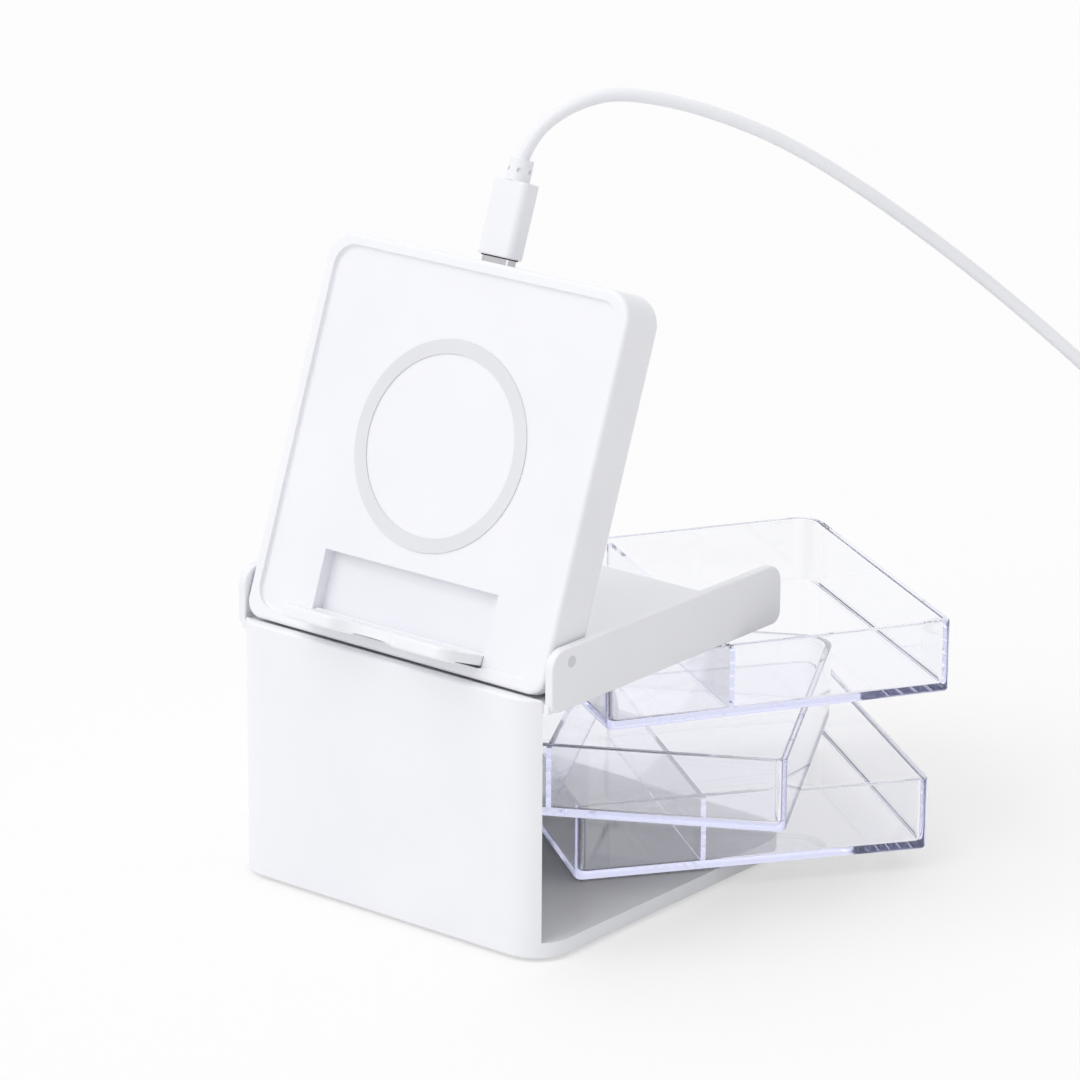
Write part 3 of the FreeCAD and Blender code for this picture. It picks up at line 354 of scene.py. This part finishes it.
def make_cable(finishes, points):
    """The cable from plug to plug, from the leaning pad down to the coil on the table."""
    line = as_mesh(cable_curve("cable_line", points, 0.0), "cable_line")
    bpy.data.meshes.remove(line)
    mesh = as_mesh(cable_curve("cable_tube", points, CABLE_DIAMETER), "cable_tube")
    mesh.name = "charging_cable"
    for polygon in mesh.polygons:
        polygon.use_smooth = True
    cable = bpy.data.objects.new("charging_cable", mesh)
    scene.collection.objects.link(cable)
    cable.data.materials.clear()
    cable.data.materials.append(finishes["cable_white"])
    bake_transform(cable)
    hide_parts("cable", "cable_coil")


# Small pieces of the plugs

FAR_SHELL_SIZE = (12.0, 15.2, 4.5)
FAR_SHELL_START = 29.0
FAR_SHELL_WALL = 0.3
FAR_SHELL_ROUND = 0.6
FAR_SHELL_EDGE = 0.05
WINDOW_ACROSS = (2.0, 4.5)
WINDOW_ALONG = (37.0, 39.0)
CONTACT_PLACES = ((-3.5, 43.0), (-1.0, 42.0), (1.0, 42.0), (3.5, 43.0))
CONTACT_START = 32.0
CONTACT_WIDTH = 1.1
CONTACT_LOW = -0.14
CONTACT_HIGH = 0.04
CONTACT_EDGE = 0.04
PAD_HINGE = (0.0, -33.25, 63.4)
PAD_ANGLE = 69.5
PORT_HEIGHT = 61.8
PLUG_SHELL_SIZE = (8.3, 2.5)
# The seam is a dark ring of painted shade where the plug's shell enters its overmould, standing in
# for the shadow in that joint.
SEAM_LOW = 42.1
SEAM_HIGH = 42.33
SEAM_INNER = 0.02
SEAM_OUTER = 0.34
SEAM_EDGE = 0.03
ROUND_STEPS = 5
CAPSULE_STEPS = 12
NEARLY_STRAIGHT = 0.9  # how far a face's normal has to point along an axis
SAME_POINT = 0.001
SHARP_CORNER = 40.0


def new_piece(name, shape, material, body):
    """A finished piece from a shape in metres, on the body that carries it."""
    mesh = bpy.data.meshes.new(name)
    bmesh.ops.recalc_face_normals(shape, faces=shape.faces)
    shape.to_mesh(mesh)
    shape.free()
    for polygon in mesh.polygons:
        polygon.use_smooth = True
    mesh.materials.append(material)
    piece = bpy.data.objects.new(name, mesh)
    scene.collection.objects.link(piece)
    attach(piece, body)
    return piece


def crisp(piece, width):
    """Narrow rounds on the edges, with flat faces left flat."""
    edges = piece.modifiers.new("edges", "BEVEL")
    edges.width = width * MM
    edges.segments = 2
    edges.limit_method = "ANGLE"
    edges.angle_limit = math.radians(SHARP_CORNER)
    piece.modifiers.new("flats", "WEIGHTED_NORMAL")


def far_plug_place(end):
    """Takes a shape to the far plug, which lies beside the coil at the cable's end."""
    turn = Matrix.Rotation(math.radians(COIL_START_ANGLE), 4, "Z")
    return Matrix.Scale(MM, 4) @ Matrix.Translation(end) @ turn


def score(shape, spot, facing):
    """A line of edges all round a shape, where a plane crosses it."""
    everything = shape.verts[:] + shape.edges[:] + shape.faces[:]
    bmesh.ops.bisect_plane(shape, geom=everything, plane_co=spot, plane_no=facing)


def in_window(face):
    """Whether a face of the far plug's shell lies where one of the four windows opens it."""
    middle = face.calc_center_median()
    return (
        abs(face.normal.z) > NEARLY_STRAIGHT
        and WINDOW_ACROSS[0] < abs(middle.x) < WINDOW_ACROSS[1]
        and WINDOW_ALONG[0] < middle.y < WINDOW_ALONG[1]
    )


def make_far_plug_shell(finishes, place):
    """The far plug's folded steel shell, with two windows above and two below."""
    length = FAR_SHELL_SIZE[1]
    shape = bmesh.new()
    bmesh.ops.create_cube(shape, size=1.0)
    bmesh.ops.scale(shape, vec=FAR_SHELL_SIZE, verts=shape.verts)
    bmesh.ops.translate(shape, vec=(0.0, FAR_SHELL_START + length / 2, 0.0), verts=shape.verts)
    corners = [
        edge for edge in shape.edges if abs(edge.verts[0].co.y - edge.verts[1].co.y) > length / 2
    ]
    bmesh.ops.bevel(
        shape,
        geom=corners,
        offset=FAR_SHELL_ROUND,
        segments=ROUND_STEPS,
        profile=0.5,
        affect="EDGES",
        material=-1,
    )
    ends = [face for face in shape.faces if abs(face.normal.y) > NEARLY_STRAIGHT]
    bmesh.ops.delete(shape, geom=ends, context="FACES")
    for side in WINDOW_ACROSS:
        score(shape, (side, 0.0, 0.0), (1.0, 0.0, 0.0))
        score(shape, (-side, 0.0, 0.0), (1.0, 0.0, 0.0))
    for level in WINDOW_ALONG:
        score(shape, (0.0, level, 0.0), (0.0, 1.0, 0.0))
    shape.normal_update()
    panes = [face for face in shape.faces if in_window(face)]
    bmesh.ops.delete(shape, geom=panes, context="FACES")
    bmesh.ops.transform(shape, matrix=place, verts=shape.verts)
    steel = finishes["bright_steel"]
    shell = new_piece("far_plug_shell", shape, steel, "housing")
    wall = shell.modifiers.new("wall", "SOLIDIFY")
    wall.thickness = FAR_SHELL_WALL * MM
    wall.offset = -1.0
    crisp(shell, FAR_SHELL_EDGE)
    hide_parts("usb_plug_shell")
    return shell


def make_far_plug_contacts(finishes, place):
    """Four plated strips under the far plug's tongue, the outer two longer."""
    shape = bmesh.new()
    for x, reach in CONTACT_PLACES:
        size = Vector((CONTACT_WIDTH, reach - CONTACT_START, CONTACT_HIGH - CONTACT_LOW))
        middle = Vector((x, (reach + CONTACT_START) / 2, (CONTACT_HIGH + CONTACT_LOW) / 2))
        spot = place @ Matrix.Translation(middle) @ Matrix.Diagonal((*size, 1.0))
        bmesh.ops.create_cube(shape, size=1.0, matrix=spot)
    contacts = new_piece("far_plug_contacts", shape, finishes["brass"], "housing")
    crisp(contacts, CONTACT_EDGE)
    return contacts


def on_pad(spot):
    """Takes a shape to the leaning pad, from a spot that is given for the pad lying flat."""
    hinge = Vector(PAD_HINGE)
    lean = Matrix.Rotation(math.radians(PAD_ANGLE), 4, "X")
    reach = Matrix.Translation(Vector(spot) - hinge)
    return Matrix.Scale(MM, 4) @ Matrix.Translation(hinge) @ lean @ reach


def make_painted_shade_ring(finishes):
    """Painted shade in the joint where the plug's shell goes into its overmould: a dark flat
    capsule with a hole, standing in for the shadow in that gap.
    """
    width, height = (side + 2 * SEAM_OUTER for side in PLUG_SHELL_SIZE)
    shape = bmesh.new()
    bmesh.ops.create_grid(shape, x_segments=1, y_segments=1, size=0.5)
    bmesh.ops.scale(shape, vec=(width, height, 1.0), verts=shape.verts)
    bmesh.ops.bevel(
        shape,
        geom=shape.verts[:],
        offset=height / 2,
        segments=CAPSULE_STEPS,
        profile=0.5,
        affect="VERTICES",
        material=-1,
    )
    bmesh.ops.remove_doubles(shape, verts=shape.verts, dist=SAME_POINT)
    hole = shape.faces[:]
    band = bmesh.ops.inset_region(
        shape,
        faces=hole,
        thickness=SEAM_OUTER - SEAM_INNER,
        use_boundary=True,
        use_even_offset=True,
    )["faces"]
    bmesh.ops.delete(shape, geom=hole, context="FACES")
    raised = bmesh.ops.extrude_face_region(shape, geom=band)["geom"]
    tops = [part for part in raised if isinstance(part, bmesh.types.BMVert)]
    bmesh.ops.translate(shape, vec=(0.0, 0.0, SEAM_HIGH - SEAM_LOW), verts=tops)
    along_pad = Matrix.Rotation(math.radians(-90.0), 4, "X")
    spot = on_pad((0.0, SEAM_LOW, PORT_HEIGHT)) @ along_pad
    bmesh.ops.transform(shape, matrix=spot, verts=shape.verts)
    # The black finish on this ring is painted shade for the joint's shadow.
    seam_shade = new_piece("plug_seam_shade", shape, finishes["chip_black"], "pad")
    crisp(seam_shade, SEAM_EDGE)
    return seam_shade


# Floor and light

FLOOR_REACH = 6.0  # metres
FLOOR_DROP = 0.2
FLOOR_TONE = (0.97, 0.97, 0.97, 1.0)
FLOOR_ROUGHNESS = 0.9
FLOOR_GLOSS = 0.1
FLOOR_GLOW = 0.5  # share of plain white in what the camera sees of the floor
ROOM_TONE = (1.0, 1.0, 1.0, 1.0)
ROOM_LIGHT = 0.55
ROOM_SEEN = 1.0
LIGHT_BOUNCES = 64
# Lamps: the way that the light goes, its strength, its spread
LAMPS = {
    "key": ((0.26, 0.67, -0.69), 0.96, 50.0),
    "top": ((0.1, -0.15, -1.0), 0.72, 90.0),
}


def seen_directly(nodes, links):
    """One for what the camera sees, also in a mirror or a clear piece, and zero for other light."""
    path = nodes.new("ShaderNodeLightPath")
    seen = path.outputs["Is Camera Ray"]
    for kind in ("Is Glossy Ray", "Is Transmission Ray"):
        either = nodes.new("ShaderNodeMath")
        either.operation = "MAXIMUM"
        links.new(seen, either.inputs[0])
        links.new(path.outputs[kind], either.inputs[1])
        seen = either.outputs["Value"]
    return seen


def make_floor():
    """A pale table that fades into a pale room, and keeps the object's soft shadow."""
    plate = bmesh.new()
    bmesh.ops.create_grid(plate, x_segments=1, y_segments=1, size=FLOOR_REACH)
    mesh = bpy.data.meshes.new("floor")
    plate.to_mesh(mesh)
    plate.free()
    floor = bpy.data.objects.new("floor", mesh)
    floor.location.z = -FLOOR_DROP * MM
    scene.collection.objects.link(floor)
    material, nodes, links, shader = finish("floor_white")
    shader.inputs["Base Color"].default_value = FLOOR_TONE
    shader.inputs["Roughness"].default_value = FLOOR_ROUGHNESS
    shader.inputs["Specular IOR Level"].default_value = FLOOR_GLOSS
    glow = nodes.new("ShaderNodeEmission")
    share = nodes.new("ShaderNodeMath")
    share.operation = "MULTIPLY"
    share.inputs[1].default_value = FLOOR_GLOW
    links.new(seen_directly(nodes, links), share.inputs[0])
    pale = nodes.new("ShaderNodeMixShader")
    links.new(share.outputs["Value"], pale.inputs["Fac"])
    links.new(shader.outputs["BSDF"], pale.inputs[1])
    links.new(glow.outputs["Emission"], pale.inputs[2])
    links.new(pale.outputs["Shader"], nodes["Material Output"].inputs["Surface"])
    floor.data.materials.append(material)


def hang_lamp(name, heading, strength, spread):
    """A broad soft lamp, far away on the side that the light comes from."""
    light = bpy.data.lights.new(name, "SUN")
    light.energy = strength
    light.angle = math.radians(spread)
    holder = bpy.data.objects.new(name, light)
    holder.rotation_euler = Vector(heading).to_track_quat("-Z", "Y").to_euler()
    scene.collection.objects.link(holder)


def make_room():
    """A pale room: plain soft light on the object, and white where it is seen directly."""
    world = bpy.data.worlds.new("room")
    world.use_nodes = True
    nodes = world.node_tree.nodes
    links = world.node_tree.links
    background = nodes["Background"]
    background.inputs["Color"].default_value = ROOM_TONE
    level = nodes.new("ShaderNodeMapRange")
    level.inputs["To Min"].default_value = ROOM_LIGHT
    level.inputs["To Max"].default_value = ROOM_SEEN
    links.new(seen_directly(nodes, links), level.inputs["Value"])
    links.new(level.outputs["Result"], background.inputs["Strength"])
    scene.world = world
    for name, settings in LAMPS.items():
        hang_lamp(name, *settings)
    scene.view_settings.view_transform = "Standard"
    scene.cycles.max_bounces = LIGHT_BOUNCES
    scene.cycles.glossy_bounces = LIGHT_BOUNCES
    scene.cycles.transmission_bounces = LIGHT_BOUNCES


aim_camera()
FINISHES = make_finishes()
dress_solids(FINISHES)
CABLE_POINTS = cable_points()
FAR_PLUG = far_plug_place(CABLE_POINTS[-1])
PLUG_PIECES = [
    # A ring of painted shade in the joint of the pad's plug.
    make_painted_shade_ring(FINISHES),
    make_far_plug_shell(FINISHES, FAR_PLUG),
    make_far_plug_contacts(FINISHES, FAR_PLUG),
]
make_cable(FINISHES, CABLE_POINTS)
make_floor()
make_room()
